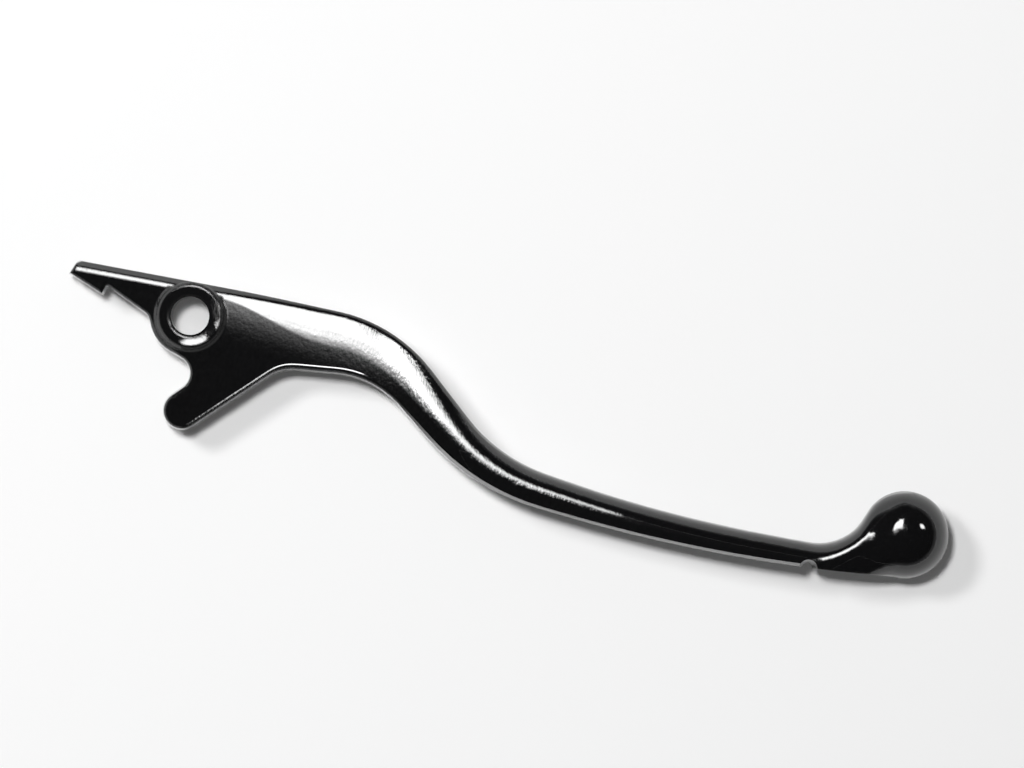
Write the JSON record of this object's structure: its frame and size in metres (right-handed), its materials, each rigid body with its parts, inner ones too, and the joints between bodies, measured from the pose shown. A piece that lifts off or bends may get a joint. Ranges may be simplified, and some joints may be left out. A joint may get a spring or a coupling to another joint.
{
  "type": "motorcycle brake lever",
  "caption": "Cast brake lever blade with a bossed pivot eye, a piston nose, a barbed switch tail, an S-bent crowned finger grip, a break-off notch and a ball end.",
  "frame": {"origin": "on the axis of the pivot bore, at mid thickness", "axes": "+Z along the pivot bore, +X along the straight front edge of the head towards the ball end, +Y forward, away from the handlebar"},
  "size_m": [0.1903, 0.0355, 0.0182],
  "materials": {
    "black_paint": "gloss black paint over an aluminium die casting"
  },
  "bodies": {
    "root": {"lever": "black_paint"}
  },
  "joints": []
}
